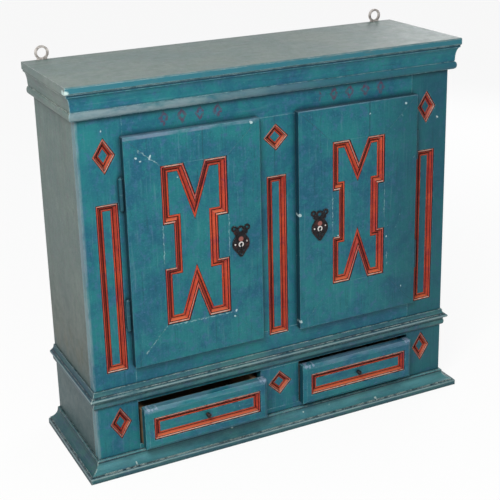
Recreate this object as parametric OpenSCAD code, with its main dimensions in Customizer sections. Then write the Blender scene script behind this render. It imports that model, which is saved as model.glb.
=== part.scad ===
/* [Face frame] */
// Width of each corner stile
corner_stile_w = 87; // [80:1:110]
// Width of the stile between the doors
centre_stile_w = 94; // [80:1:120]
// Width of the stile between the drawers
drawer_stile_w = 88; // [70:1:120]
// Thickness of the face frame
face_t = 20; // [18:1:24]
// Width of each door opening
door_open_w = 266; // [240:1:320]
// Height of each door opening
door_open_h = 447; // [420:1:520]
// Height of the rail under the drawers
bottom_rail_h = 45; // [40:1:60]
// Height of each drawer opening
drawer_open_h = 93; // [85:1:120]
// Height of the rail between drawers and doors
waist_rail_h = 85; // [70:1:110]
// Height of the frieze above the doors
frieze_h = 96; // [90:1:130]
// Length of the tenons in the face frame
tenon_l = 26; // [16:1:34]
// Thickness of the tenons
tenon_t = 7; // [5:0.5:9]
// Shoulder above and below each tenon
tenon_shoulder = 12; // [8:1:14]

/* [Case] */
// Depth of the case from its face to the wall
case_d = 248; // [220:1:300]
// Thickness of the side boards
side_t = 20; // [16:1:24]
// Thickness of the top board
top_t = 14; // [10:1:20]
// Overhang of the top board past the front and the sides
top_over = 19.5; // [18.5:0.5:24]
// Thickness of the back boards
back_t = 12; // [8:1:16]
// Number of back boards
back_count = 5; // [3:2:7]
// Thickness of the bottom board, the deck and the shelf
deck_t = 18; // [14:1:22]
// Depth of the grooves in the sides
groove_d = 6; // [4:0.5:10]
// Height of the shelf above the deck
shelf_rise = 284; // [200:1:340]
// Setback of the shelf behind the face
shelf_back = 42; // [38:1:60]
// Width and height of the shelf cleats
cleat_s = 18; // [12:1:24]
// Width and height of the drawer guides
guide_s = 14; // [10:1:18]

/* [Cornice, waist and base] */
// Height of the cornice under the top board
cornice_h = 50; // [44:1:60]
// Reach of the cornice
cornice_out = 17.5; // [14:0.5:18]
// Height of the waist moulding
waist_h = 36; // [30:1:44]
// Reach of the waist moulding
waist_out = 12; // [9:0.5:15]
// Height of the waist moulding above the drawer openings
waist_gap = 6; // [4:1:12]
// Height of the base moulding
base_h = 34; // [28:1:39]
// Reach of the base moulding
base_out = 27; // [18:0.5:30]

/* [Doors] */
// Overlap of the doors on the face frame
door_lip = 5; // [3:0.5:5]
// Clearance round the door core in its opening
core_gap = 2; // [1.5:0.1:3]
// Thickness of the door core
core_t = 16; // [12:1:16]
// Thickness of the boards laid on the core
board_t = 14; // [10:1:16]
// Gap between the door and the face frame
seat_gap = 0.4; // [0.3:0.05:0.6]
// Open seam at the mitres
seam = 0.3; // [0.2:0.05:0.5]
// Width of the wedges at their base
wedge_w = 42; // [36:1:48]
// Width of the door moulding
door_mould_w = 16.5; // [11:0.5:17]
// Thickness of the battens behind the doors
batten_t = 12; // [8:1:14]
// Height of each batten
batten_h = 50; // [30:1:70]
// Distance of the battens from the upper and lower ends of the core
batten_in = 45; // [30:1:80]
// Distance of the battens from the sides of the core
batten_end = 14; // [8:1:30]

/* [Outline in the left door] */
// Width of the opening between the side boards of the left door
left_inner_w = 136; // [116:1:144]
// Height of the board at the top of the left door
left_top_h = 63; // [55:1:80]
// Height of the board at the foot of the left door
left_foot_h = 74; // [60:1:90]
// Width of the notch blocks in the left door
left_block_w = 22; // [14:0.5:24]
// Height of the notch blocks in the left door
left_block_h = 87; // [70:1:110]
// Depth of the upper wedge in the left door
left_wedge_top = 64; // [40:1:70]
// Depth of the lower wedge in the left door
left_wedge_foot = 62; // [40:1:70]

/* [Outline in the right door] */
// Width of the opening between the side boards of the right door
right_inner_w = 123; // [116:1:144]
// Height of the board at the top of the right door
right_top_h = 71; // [55:1:80]
// Height of the board at the foot of the right door
right_foot_h = 83; // [60:1:90]
// Width of the notch blocks in the right door
right_block_w = 14.5; // [14:0.5:24]
// Height of the notch blocks in the right door
right_block_h = 97; // [70:1:110]
// Depth of the upper wedge in the right door
right_wedge_top = 50; // [40:1:70]
// Depth of the lower wedge in the right door
right_wedge_foot = 62; // [40:1:70]

/* [Red mouldings on the stiles] */
// Width of the tall frames
tall_w = 44; // [40:1:46]
// Height of the tall frames
tall_h = 339; // [280:1:350]
// Distance from a door edge to the tall frame beside it
tall_gap = 10; // [10:0.5:14]
// Drop of the tall frames below the doors
tall_drop = 6; // [0:1:12]
// Width of the strip in the tall frames
strip_w = 14.5; // [9:0.5:15]
// Gap at the mitres of the red strips
mitre_gap = 0.1; // [0.05:0.05:0.3]
// Depth of the channels that the red strips lie in
sink = 9; // [8.5:0.5:10]
// Depth of the groove in the red strips
strip_cut = 7.5; // [6:0.5:7.5]
// Drop of the fields inside the red strips
field_drop = 5; // [3:0.5:5]
// Drop of the red strips below the wood outside them
strip_drop = 0.5; // [0.3:0.1:1]
// Height of the red strips above the fields at their inner edges
strip_step = 0.6; // [0.4:0.1:1]
// Width of the corner lozenges
lozenge_w = 45; // [40:1:54]
// Height of the corner lozenges
lozenge_h = 70; // [60:1:78]
// Width and height of the centre lozenges
lozenge_mid = 55; // [44:1:64]
// Width of the strip in the lozenges
lozenge_strip = 12; // [8:0.5:13]
// Drop of the upper corner lozenges below the cornice
lozenge_drop = 74; // [60:1:90]
// Extra drop of the upper centre lozenge
lozenge_mid_drop = 14; // [0:1:24]
// Drop of the lower lozenges below the waist moulding
lozenge_low_drop = 43; // [38:1:50]

/* [Drawers] */
// Distance that the left drawer stands open at rest
left_out = 34; // [10:1:60]
// Distance that the right drawer stands open at rest
right_out = 22; // [10:1:60]
// Thickness of the drawer fronts
front_t = 20; // [16:1:22]
// Clearance beside each drawer front
front_gap = 1.5; // [1:0.1:2.5]
// Clearance above each drawer front
front_top_gap = 5; // [3:0.5:8]
// Width of the bevel round the drawer fronts
bevel_w = 7; // [4:0.5:12]
// Depth of the bevel round the drawer fronts
bevel_d = 5; // [3:0.5:8]
// Thickness of the drawer sides and back
drawer_side_t = 10; // [8:0.5:14]
// Height of the drawer sides
drawer_side_h = 74; // [56:1:78]
// Length of the drawer sides behind the front
drawer_len = 205; // [160:1:210]
// Inset of the drawer sides from the ends of the front
drawer_side_in = 3; // [2:0.5:8]
// Wood left in front of the dovetails
dovetail_lap = 6; // [4:0.5:8]
// Thickness of the drawer bottoms
drawer_floor_t = 6; // [4:0.5:8]
// Height of the drawer bottoms above the lower edge of the sides
drawer_floor_z = 6; // [4:0.5:10]
// Number of dovetails at each drawer corner
tails = 3; // [2:1:4]
// Gap under the drawers
run_gap = 0.3; // [0.2:0.05:0.6]
// Wood left at each end of the red frame on a drawer
drawer_mould_end = 18.5; // [14.5:0.5:34.5]
// Height of the red frame on each drawer
drawer_mould_h = 48; // [42:1:56]
// Width of the strip in the drawer frames
drawer_strip = 14; // [9:0.5:15]
// Radius of the drawer knobs
knob_r = 5; // [4:0.5:8]
// Length of the drawer knobs
knob_l = 11; // [8:0.5:18]

/* [Locks] */
// Distance from the meeting edge of a door to the keyhole
key_in = 46; // [40:1:54]
// Height of the keyholes above the lower edge of the doors
key_z = 211; // [190:1:230]
// Width of the escutcheons
plate_w = 40; // [36:1:46]
// Height of the escutcheons
plate_h = 67; // [58:1:78]
// Thickness of the escutcheons
plate_t = 1.6; // [1:0.1:2.5]
// Radius of the keyholes
key_r = 3.4; // [2.8:0.1:4]
// Length of the keyholes below their centres
key_slot = 9; // [7:0.5:10]
// Height of the collar round a keyhole above the escutcheon
collar_h = 0.8; // [0.4:0.1:1.2]
// Width of the lock cases
lock_w = 66; // [60:1:76]
// Height of the lock cases
lock_h = 72; // [60:1:84]
// Thickness of the lock cases behind their bolts
lock_wall = 3.2; // [2:0.2:6]
// Thickness of the lock bolts
bolt_t = 6; // [4:0.5:8]
// Height of the lock bolts
bolt_h = 14; // [10:1:20]
// Length of the lock bolts
bolt_l = 48; // [40:1:54]
// Clearance round the lock bolts
bolt_gap = 0.3; // [0.2:0.05:0.5]

/* [Hinges and hangers] */
// Radius of the hinge knuckles
knuckle_r = 4.5; // [4:0.1:5]
// Radius of the hinge pins
pin_r = 2.5; // [2:0.1:3]
// Radial clearance of the hinge pins
pin_gap = 0.06; // [0.03:0.01:0.1]
// Height of each hinge
hinge_h = 60; // [50:1:80]
// Distance of the hinges from the ends of the doors
hinge_in = 78; // [60:1:120]
// Thickness of the hinge leaves
leaf_t = 2; // [1.5:0.1:3]
// Length of the hinge leaves in the wood
leaf_l = 20; // [14:1:24]
// Gap between the door edge and the knuckles
knuckle_gap = 0.3; // [0.3:0.05:0.6]
// Distance of the hangers from the sides of the case
hanger_in = 22; // [20:1:60]
// Width of the hanger straps
hanger_w = 20; // [16:1:26]
// Thickness of the hangers
hanger_t = 4; // [3:0.5:5]
// Length of the hanger straps below the top
hanger_l = 80; // [60:1:120]
// Outer radius of the hanger eyes
eye_r = 14; // [12:0.5:17]
// Radius of the hole in the hanger eyes
eye_hole_r = 9.5; // [6:0.5:10]
// Height of the eye centres above the top
eye_rise = 13.5; // [11:0.5:20]
// Height of the cone at each end of a hinge
tip_h = 2.5; // [1.5:0.5:4]
// Radius of the nail shanks
nail_r = 1.3; // [1:0.1:1.8]
// Length of the nails in the hangers
nail_l = 11; // [8:0.5:15]
// Radius of the nail heads
nail_head_r = 3; // [2.5:0.1:4]
// Thickness of the nail heads
nail_head_t = 1.5; // [1:0.1:2]
// Distance of the nails from the ends of the hanger straps
nail_in = 22; // [16:1:28]
// Clearance round the nails and the knob shanks
nail_gap = 0.1; // [0.05:0.05:0.3]

/* [Hidden] */

teal = [0.20, 0.44, 0.46];
red = [0.70, 0.24, 0.13];
iron = [0.10, 0.11, 0.12];
bare = [0.55, 0.42, 0.28];

// Widths across the face, from the middle outwards
case_w = 2 * (corner_stile_w + door_open_w) + centre_stile_w;
half = case_w / 2;
open_x0 = centre_stile_w / 2;
open_x1 = open_x0 + door_open_w;
door_x0 = open_x0 - door_lip;
door_x1 = open_x1 + door_lip;
door_x = (door_x0 + door_x1) / 2;
drawer_x0 = drawer_stile_w / 2;
drawer_x1 = open_x1;
drawer_x = (drawer_x0 + drawer_x1) / 2;
drawer_mould_w = drawer_x1 - drawer_x0 - 2 * drawer_mould_end;

// Heights from the floor upwards
sill_z = bottom_rail_h;
waist_z = sill_z + drawer_open_h;
open_z = waist_z + waist_rail_h;
frieze_z = open_z + door_open_h;
top_z = frieze_z + frieze_h;
case_h = top_z + top_t;
door_z0 = open_z - door_lip;
door_z1 = frieze_z + door_lip;
cornice_z = top_z - cornice_h;
waist_mould_z = waist_z + waist_gap;
shelf_z = waist_z + deck_t + shelf_rise;
back_y = case_d - back_t;

// The boards, notch blocks and wedges of each door
left_shape = [left_inner_w, left_top_h, left_foot_h, left_block_w, left_block_h,
              left_wedge_top, left_wedge_foot];
right_shape = [right_inner_w, right_top_h, right_foot_h, right_block_w, right_block_h,
               right_wedge_top, right_wedge_foot];

// Depths of the door: 0 is the face of the case and minus is towards the room
core_y0 = -seat_gap;
core_y1 = core_y0 + core_t;
door_y0 = core_y0 - board_t;

// The keyhole, the bolt and the hinge line on the right side
key_x = door_x0 + key_in;
key_height = door_z0 + key_z;
core_x0 = open_x0 + core_gap;
core_x1 = open_x1 - core_gap;
bolt_y = face_t + seat_gap + bolt_t / 2;
lock_y1 = bolt_y + bolt_t / 2 + lock_wall;
bolt_z = key_height + 2 * key_r;
axis_x = door_x1 + knuckle_gap + knuckle_r;
axis_y = -5;
hinge_low = door_z0 + hinge_in;
hinge_high = door_z1 - hinge_in - hinge_h;
pin_top = hinge_h - 4;

// The drawer, closed
front_x0 = drawer_x0 + front_gap;
front_x1 = drawer_x1 - front_gap;
front_z0 = sill_z + run_gap;
front_z1 = waist_z - front_top_gap;
drawer_end = front_t + drawer_len;
side_x0 = front_x0 + drawer_side_in;
side_x1 = front_x1 - drawer_side_in;
panel_groove = 4;
fit = 0.1;

tall_z = door_z0 - tall_drop;
tall_x = door_x1 + tall_gap + tall_w / 2;
lozenge_high = cornice_z - lozenge_drop;
lozenge_low = waist_mould_z - lozenge_low_drop;
edge = 1.5;
facets = 48;
over = 1;

function arc(c, r, a0, a1, n) =
    [for (i = [0:n]) let (a = a0 + (a1 - a0) * i / n) [c[0] + r[0] * cos(a), c[1] + r[1] * sin(a)]];

function unit(v) = v / norm(v);
function inward(a, b) = let (d = unit(b - a)) [-d[1], d[0]];
// The point a distance w inside corner b of an outline that runs anticlockwise
function inset(a, b, c, w) = let (m = inward(a, b), n = inward(b, c)) b + w * (m + n) / (1 + m * n);
function inset_all(p, w) =
    let (n = len(p)) [for (i = [0:n - 1]) inset(p[(i + n - 1) % n], p[i], p[(i + 1) % n], w)];

cornice_profile = concat(
    [[0, 0], [cornice_out * 0.54, 0]],
    arc([cornice_out * 0.54, cornice_h * 0.16], [cornice_out * 0.22, cornice_h * 0.15], -90, 90, 10),
    arc([cornice_out, cornice_h * 0.38], [cornice_out * 0.42, cornice_h * 0.52], 180, 90, 10),
    [[cornice_out, cornice_h], [0, cornice_h]]
);

waist_profile = concat(
    [[0, 0]],
    arc([waist_out * 0.25, waist_h * 0.2], [waist_out * 0.27, waist_h * 0.2], -90, 60, 6),
    [[waist_out * 0.42, waist_h * 0.42], [waist_out * 0.42, waist_h * 0.5]],
    arc([waist_out * 0.84, waist_h * 0.58], [waist_out * 0.16, waist_h * 0.08], -90, 90, 6),
    [[waist_out * 0.66, waist_h * 0.7]],
    arc([waist_out * 0.66, waist_h * 0.94], [waist_out * 0.4, waist_h * 0.22], -90, -180, 6),
    [[waist_out * 0.2, waist_h], [0, waist_h]]
);

base_profile = concat(
    [[0, 0], [base_out, 0], [base_out, base_h * 0.3], [base_out * 0.93, base_h * 0.36]],
    [[base_out * 0.86, base_h * 0.36]],
    arc([base_out * 0.86, base_h * 0.9], [base_out * 0.66, base_h * 0.48], 270, 180, 8),
    [[base_out * 0.2, base_h * 0.94], [base_out * 0.12, base_h], [0, base_h]]
);

// A board between two corners, given as [low, high] along each axis
module block(x, y, z) {
    translate([x[0], y[0], z[0]]) cube([x[1] - x[0], y[1] - y[0], z[1] - z[0]]);
}

module left() {
    mirror([1, 0, 0]) children();
}

module drawn(out) {
    translate([0, -out, 0]) children();
}

// Stands a drawing in x and z on the plane y, growing towards the room
module on_face(y) {
    translate([0, y, 0]) rotate([90, 0, 0]) children();
}

// A run of moulding along the front, mitred at both ends
module front_run(profile, reach, h, z) {
    translate([0, 0, z]) intersection() {
        translate([-half - reach, 0, 0]) rotate([90, 0, 90]) linear_extrude(case_w + 2 * reach)
            polygon([for (p = profile) [-p[0], p[1]]]);
        linear_extrude(h)
            polygon([[-half, 0], [half, 0], [half + reach, -reach], [-half - reach, -reach]]);
    }
}

// A run of moulding along the right side, mitred at the front
module side_run(profile, reach, h, z) {
    translate([0, 0, z]) intersection() {
        translate([half, case_d, 0]) rotate([90, 0, 0]) linear_extrude(case_d + reach) polygon(profile);
        linear_extrude(h)
            polygon([[half, 0], [half + reach, -reach], [half + reach, case_d], [half, case_d]]);
    }
}

// How far a strip along d stops short of its mitre line m
function retreat(d, m) = d * mitre_gap / 2 / abs(cross(d, unit(m)));

// Moulding strips inside a closed outline, mitred at every corner
module strip_frame(outline, w, profile) {
    inner = inset_all(outline, w);
    n = len(outline);
    reach = 6 * w;
    for (i = [0:n - 1]) {
        j = (i + 1) % n;
        a = outline[i];
        b = outline[j];
        d = unit(b - a);
        start = retreat(d, inner[i] - a);
        end = retreat(d, inner[j] - b);
        intersection() {
            translate([a[0], a[1], 0]) rotate([0, 0, atan2(d[1], d[0])])
                translate([-reach, 0, 0]) rotate([90, 0, 90]) linear_extrude(norm(b - a) + 2 * reach)
                    polygon(profile);
            linear_extrude(4 * w) polygon([a + start, b - end, inner[j] - end, inner[i] + start]);
        }
    }
}

// A strip in a channel of a given depth: a narrow bead between two quirks on the outside, a slope
// down to a deep groove, and a low bead beside the field
function strip_profile(w, depth) = let (
    top = depth - strip_drop,
    cut = depth - strip_cut,
    low = depth - field_drop + strip_step
) concat(
    [[0, 0], [w, 0]],
    arc([w * 0.86, cut], [w * 0.14, low - cut], 0, 180, 6),
    [[w * 0.7, cut], [w * 0.37, top - w * 0.08], [w * 0.33, top - w * 0.2], [w * 0.27, top - w * 0.2]],
    arc([w * 0.17, top - w * 0.1], [w * 0.1, w * 0.1], 0, 180, 6),
    [[w * 0.07, top - w * 0.2], [0, top - w * 0.2]]
);

// The channel of a strip frame in a face at depth 0, and the drop of the field inside it
module strip_seat(outline, w) {
    rim = inset_all(outline, -fit);
    on_face(sink) linear_extrude(sink + over) difference() {
        polygon(rim);
        polygon(inset_all(outline, w + fit));
    }
    on_face(field_drop) linear_extrude(field_drop + over) polygon(rim);
}

function rectangle(x, z, w, h) = [
    [x - w / 2, z - h / 2], [x + w / 2, z - h / 2], [x + w / 2, z + h / 2], [x - w / 2, z + h / 2]
];
function lozenge(x, z, w, h) = [[x, z - h / 2], [x + w / 2, z], [x, z + h / 2], [x - w / 2, z]];

function tall_outline(x) = rectangle(x, tall_z + tall_h / 2, tall_w, tall_h);
function corner_lozenge(x, z) = lozenge(x, z, lozenge_w, lozenge_h);
function centre_lozenge(z) = lozenge(0, z, lozenge_mid, lozenge_mid);
function drawer_outline() =
    rectangle(drawer_x, (front_z0 + front_z1) / 2, drawer_mould_w, drawer_mould_h);

// The opening inside the door boards: half its width, its lowest and its highest height
function opening_a(shape) = shape[0] / 2;
function opening_z0(shape) = door_z0 + shape[2];
function opening_z1(shape) = door_z1 - shape[1];
function opening_mid(shape) = (opening_z0(shape) + opening_z1(shape)) / 2;

// The outline in a door: two legs up, two legs down and a notch at each side
function motif(shape) = let (
    a = opening_a(shape), n = a - shape[3], b = wedge_w / 2,
    z0 = opening_z0(shape), z1 = opening_z1(shape),
    m0 = opening_mid(shape) - shape[4] / 2, m1 = opening_mid(shape) + shape[4] / 2
) [
    for (p = [
        [-a, z0], [-b, z0], [0, z0 + shape[6]], [b, z0], [a, z0], [a, m0], [n, m0], [n, m1], [a, m1],
        [a, z1], [b, z1], [0, z1 - shape[5]], [-b, z1], [-a, z1], [-a, m1], [-n, m1], [-n, m0], [-a, m0]
    ]) [door_x + p[0], p[1]]
];

// Tenons and their mortises: grow widens the mortise by the fit
module rail_tenon(x, z0, z1, grow) {
    block(
        [x - (grow > 0 ? over : 0), x + tenon_l + grow],
        [face_t / 2 - tenon_t / 2 - grow, face_t / 2 + tenon_t / 2 + grow],
        [z0 + tenon_shoulder - grow, z1 - tenon_shoulder + grow]
    );
}

module stile_tenon(w, z, dir, grow) {
    low = dir > 0 ? z - (grow > 0 ? over : 0) : z - tenon_l - grow;
    high = dir > 0 ? z + tenon_l + grow : z + (grow > 0 ? over : 0);
    block(
        [-w / 2 + tenon_shoulder - grow, w / 2 - tenon_shoulder + grow],
        [face_t / 2 - tenon_t / 2 - grow, face_t / 2 + tenon_t / 2 + grow],
        [low, high]
    );
}

module rail_body(z0, z1) {
    block([-open_x1, open_x1], [0, face_t], [z0, z1]);
    rail_tenon(open_x1, z0, z1, 0);
    left() rail_tenon(open_x1, z0, z1, 0);
}

module corner_stile() {
    difference() {
        block([open_x1, half], [0, face_t], [0, top_z]);
        rail_tenon(open_x1, frieze_z, top_z, fit);
        rail_tenon(open_x1, waist_z, open_z, fit);
        rail_tenon(open_x1, 0, sill_z, fit);
        frame_leaf_slot(hinge_low);
        frame_leaf_slot(hinge_high);
        strip_seat(tall_outline(tall_x), strip_w);
        for (z = [lozenge_low, lozenge_high]) strip_seat(corner_lozenge(tall_x, z), lozenge_strip);
    }
}

module side_board() {
    difference() {
        block([half - side_t, half], [face_t, case_d], [0, top_z]);
        block([half - side_t - over, half - side_t / 2], [back_y, case_d + over],
              [sill_z - deck_t, top_z + over]);
        for (z = [sill_z - deck_t, waist_z])
            block([half - side_t - over, half - side_t + groove_d], [face_t - over, back_y],
                  [z, z + deck_t]);
        hanger_seat();
    }
}

module side_left() {
    color(teal) left() side_board();
}

module side_right() {
    color(teal) side_board();
}

module top_board() {
    w = half + top_over;
    color(teal) difference() {
        block([-w, w], [-top_over, case_d], [top_z, case_h]);
        for (z = [top_z, case_h]) translate([0, -top_over, z]) rotate([45, 0, 0])
            cube([2 * w + 2, edge * 2, edge * 2], center = true);
        hanger_seat();
        left() hanger_seat();
    }
}

module deck_board(z) {
    w = half - side_t + groove_d;
    color(bare) block([-w, w], [face_t, back_y], [z, z + deck_t]);
}

module bottom_board() {
    deck_board(sill_z - deck_t);
}

module middle_deck() {
    deck_board(waist_z);
}

module shelf() {
    w = half - side_t - seat_gap;
    color(bare) block([-w, w], [shelf_back, back_y], [shelf_z, shelf_z + deck_t]);
}

// A cleat under one end of the shelf, bevelled at its front
module cleat() {
    translate([half - side_t - cleat_s, 0, shelf_z]) rotate([90, 0, 90]) linear_extrude(cleat_s) polygon([
        [shelf_back + cleat_s / 2, -cleat_s], [back_y, -cleat_s], [back_y, 0], [shelf_back, 0],
        [shelf_back, -cleat_s / 2]
    ]);
}

module shelf_cleats() {
    color(bare) cleat();
    color(bare) left() cleat();
}

// The section of one plank: a lip in front at its left edge and one behind at its right edge
function plank(i, w) = let (
    a = -half + side_t / 2 + i * w,
    lap = back_t / 2,
    m = back_y + lap,
    low = i == 0 ? [[a, back_y]] : [[a + lap + fit, m], [a + fit, m], [a + fit, back_y]],
    high = i == back_count - 1 ? [[a + w, back_y], [a + w, case_d]]
        : [[a + w, back_y], [a + w, m + fit], [a + w + lap, m + fit], [a + w + lap, case_d]]
) concat(low, high, [[i == 0 ? a : a + lap + fit, case_d]]);

// Planks with a lap at each joint, standing in the rebates of the sides
module back_boards() {
    w = (case_w - side_t) / back_count;
    color(bare) difference() {
        translate([0, 0, sill_z - deck_t]) linear_extrude(top_z - sill_z + deck_t)
            for (i = [0:back_count - 1]) polygon(plank(i, w));
        hanger_seat();
        left() hanger_seat();
    }
}

module stile_left() {
    color(teal) left() corner_stile();
}

module stile_right() {
    color(teal) corner_stile();
}

module stile_centre() {
    color(teal) difference() {
        union() {
            block([-open_x0, open_x0], [0, face_t], [open_z, frieze_z]);
            stile_tenon(centre_stile_w, frieze_z, 1, 0);
            stile_tenon(centre_stile_w, open_z, -1, 0);
        }
        strip_seat(tall_outline(0), strip_w);
        strip_seat(centre_lozenge(lozenge_high - lozenge_mid_drop), lozenge_strip);
    }
}

module drawer_stile() {
    color(teal) difference() {
        union() {
            block([-drawer_x0, drawer_x0], [0, face_t], [sill_z, waist_z]);
            stile_tenon(drawer_stile_w, waist_z, 1, 0);
            stile_tenon(drawer_stile_w, sill_z, -1, 0);
        }
        strip_seat(centre_lozenge(lozenge_low), lozenge_strip);
    }
}

module frieze_rail() {
    color(teal) difference() {
        rail_body(frieze_z, top_z);
        stile_tenon(centre_stile_w, frieze_z, 1, fit);
    }
}

module waist_rail() {
    color(teal) difference() {
        rail_body(waist_z, open_z);
        stile_tenon(centre_stile_w, open_z, -1, fit);
        stile_tenon(drawer_stile_w, waist_z, 1, fit);
        strip_seat(tall_outline(0), strip_w);
    }
}

module bottom_rail() {
    color(teal) difference() {
        rail_body(0, sill_z);
        stile_tenon(drawer_stile_w, sill_z, -1, fit);
    }
}

module guide_pair() {
    for (x = [side_x0 - run_gap - guide_s, side_x1 + run_gap])
        block([x, x + guide_s], [face_t, back_y], [sill_z, sill_z + guide_s]);
}

module drawer_guides() {
    color(bare) guide_pair();
    color(bare) left() guide_pair();
}

module cornice_front() {
    color(teal) front_run(cornice_profile, cornice_out, cornice_h, cornice_z);
}

module cornice_left() {
    color(teal) left() side_run(cornice_profile, cornice_out, cornice_h, cornice_z);
}

module cornice_right() {
    color(teal) side_run(cornice_profile, cornice_out, cornice_h, cornice_z);
}

module waist_front() {
    color(teal) front_run(waist_profile, waist_out, waist_h, waist_mould_z);
}

module waist_left() {
    color(teal) left() side_run(waist_profile, waist_out, waist_h, waist_mould_z);
}

module waist_right() {
    color(teal) side_run(waist_profile, waist_out, waist_h, waist_mould_z);
}

module base_front() {
    color(teal) front_run(base_profile, base_out, base_h, 0);
}

module base_left() {
    color(teal) left() side_run(base_profile, base_out, base_h, 0);
}

module base_right() {
    color(teal) side_run(base_profile, base_out, base_h, 0);
}

module tall_mouldings() {
    color(red) on_face(sink) for (x = [-tall_x, 0, tall_x])
        strip_frame(tall_outline(x), strip_w, strip_profile(strip_w, sink));
}

module lozenges() {
    color(red) on_face(sink) for (outline = [
        for (x = [-tall_x, tall_x], z = [lozenge_low, lozenge_high]) corner_lozenge(x, z),
        for (z = [lozenge_low, lozenge_high - lozenge_mid_drop]) centre_lozenge(z)
    ]) strip_frame(outline, lozenge_strip, strip_profile(lozenge_strip, sink));
}

// The strap lies flush in the back of the case, and its eye stands above the top
module hanger_outline(grow) {
    x = half - hanger_in;
    translate([x - hanger_w / 2 - grow, case_h - hanger_l - grow])
        square([hanger_w + 2 * grow, hanger_l + eye_rise + grow]);
}

module hanger_nails(grow) {
    for (drop = [nail_in, hanger_l - nail_in])
        translate([half - hanger_in, case_d + grow, case_h - drop]) rotate([90, 0, 0]) {
            cylinder(r = nail_head_r + grow, h = nail_head_t + 2 * grow, $fn = facets);
            cylinder(r = nail_r + grow, h = nail_l + 2 * grow, $fn = facets);
        }
}

module hanger_seat() {
    on_face(case_d + over) linear_extrude(hanger_t + over) hanger_outline(fit);
    hanger_nails(nail_gap);
}

module hanger() {
    x = half - hanger_in;
    eye_z = case_h + eye_rise;
    difference() {
        on_face(case_d) linear_extrude(hanger_t) union() {
            hanger_outline(0);
            translate([x, eye_z]) circle(r = eye_r, $fn = facets);
        }
        translate([x, case_d + over, eye_z]) rotate([90, 0, 0])
            cylinder(r = eye_hole_r, h = hanger_t + 2 * over, $fn = facets);
        hanger_nails(nail_gap);
    }
    hanger_nails(0);
}

module hanger_left() {
    color(iron) left() hanger();
}

module hanger_right() {
    color(iron) hanger();
}

// Each hinge has a frame part with the pin, and a door part that lifts off it
module frame_leaf_slot(z) {
    block([axis_x - leaf_t / 2 - fit / 2, axis_x + leaf_t / 2 + fit / 2], [-over, axis_y + leaf_l + fit],
          [z - fit, z + hinge_h / 2 - knuckle_r]);
}

module frame_hinge(z) {
    h = hinge_h / 2;
    translate([axis_x, axis_y, z]) {
        cylinder(r = knuckle_r, h = h, $fn = facets);
        translate([0, 0, -tip_h])
            cylinder(r1 = knuckle_r * 0.5, r2 = knuckle_r * 0.9, h = tip_h, $fn = facets);
        cylinder(r = pin_r, h = pin_top, $fn = facets);
    }
    block([axis_x - leaf_t / 2, axis_x + leaf_t / 2], [axis_y, axis_y + leaf_l],
          [z, z + h - knuckle_r - over]);
}

module frame_hinges() {
    color(iron) for (z = [hinge_low, hinge_high]) {
        frame_hinge(z);
        left() frame_hinge(z);
    }
}

module door_leaf(z, grow) {
    block(
        [axis_x - knuckle_r - leaf_l - grow, axis_x - pin_r - over / 2],
        [axis_y - leaf_t / 2 - grow, axis_y + leaf_t / 2 + grow],
        [z + hinge_h / 2 + knuckle_r - grow, z + hinge_h + grow]
    );
}

module door_hinge(z) {
    h = hinge_h / 2;
    difference() {
        union() {
            translate([axis_x, axis_y, z + h + run_gap])
                cylinder(r = knuckle_r, h = h - run_gap, $fn = facets);
            translate([axis_x, axis_y, z + hinge_h])
                cylinder(r1 = knuckle_r * 0.9, r2 = knuckle_r * 0.5, h = tip_h, $fn = facets);
            door_leaf(z, 0);
        }
        translate([axis_x, axis_y, z + h - over])
            cylinder(r = pin_r + pin_gap, h = pin_top - h + 2 * over, $fn = facets);
    }
}

module door_hinges() {
    color(iron) for (z = [hinge_low, hinge_high]) door_hinge(z);
}

module keyway() {
    translate([key_x, -board_t - core_t, key_height]) rotate([-90, 0, 0])
        cylinder(r = key_r, h = 2 * (board_t + core_t), $fn = facets);
    block([key_x - key_r / 2, key_x + key_r / 2], [-board_t - core_t, core_y1 + over],
          [key_height - key_slot, key_height]);
}

module door_core() {
    color(teal) difference() {
        block([core_x0, core_x1], [core_y0, core_y1], [open_z + core_gap, frieze_z - core_gap]);
        keyway();
    }
}

// Battens with bevelled ends across the back of the core
module door_battens() {
    x0 = core_x0 + batten_end;
    x1 = core_x1 - batten_end;
    y = core_y1 + batten_t;
    color(bare) for (z = [open_z + batten_in, frieze_z - batten_in - batten_h])
        translate([0, 0, z]) linear_extrude(batten_h)
            polygon([[x0, core_y1], [x1, core_y1], [x1 - batten_t / 2, y], [x0 + batten_t / 2, y]]);
}

module board_face(points) {
    on_face(core_y0) linear_extrude(board_t) polygon(points);
}

// Four boards laid on the core, mitred from the door's corners to the corners of the opening
module door_boards(shape) {
    x0 = door_x0;
    x1 = door_x1;
    z0 = door_z0;
    z1 = door_z1;
    a0 = door_x - opening_a(shape);
    a1 = door_x + opening_a(shape);
    m0 = opening_z0(shape);
    m1 = opening_z1(shape);
    s = seam;
    color(teal) difference() {
        union() {
            board_face([[x0, z0 + s], [a0, m0 + s], [a0, m1 - s], [x0, z1 - s]]);
            board_face([[x1, z0 + s], [x1, z1 - s], [a1, m1 - s], [a1, m0 + s]]);
            board_face([[x0, z0], [x1, z0], [a1, m0], [a0, m0]]);
            board_face([[x0, z1], [a0, m1], [a1, m1], [x1, z1]]);
        }
        keyway();
        for (z = [hinge_low, hinge_high]) door_leaf(z, fit);
    }
}

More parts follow.
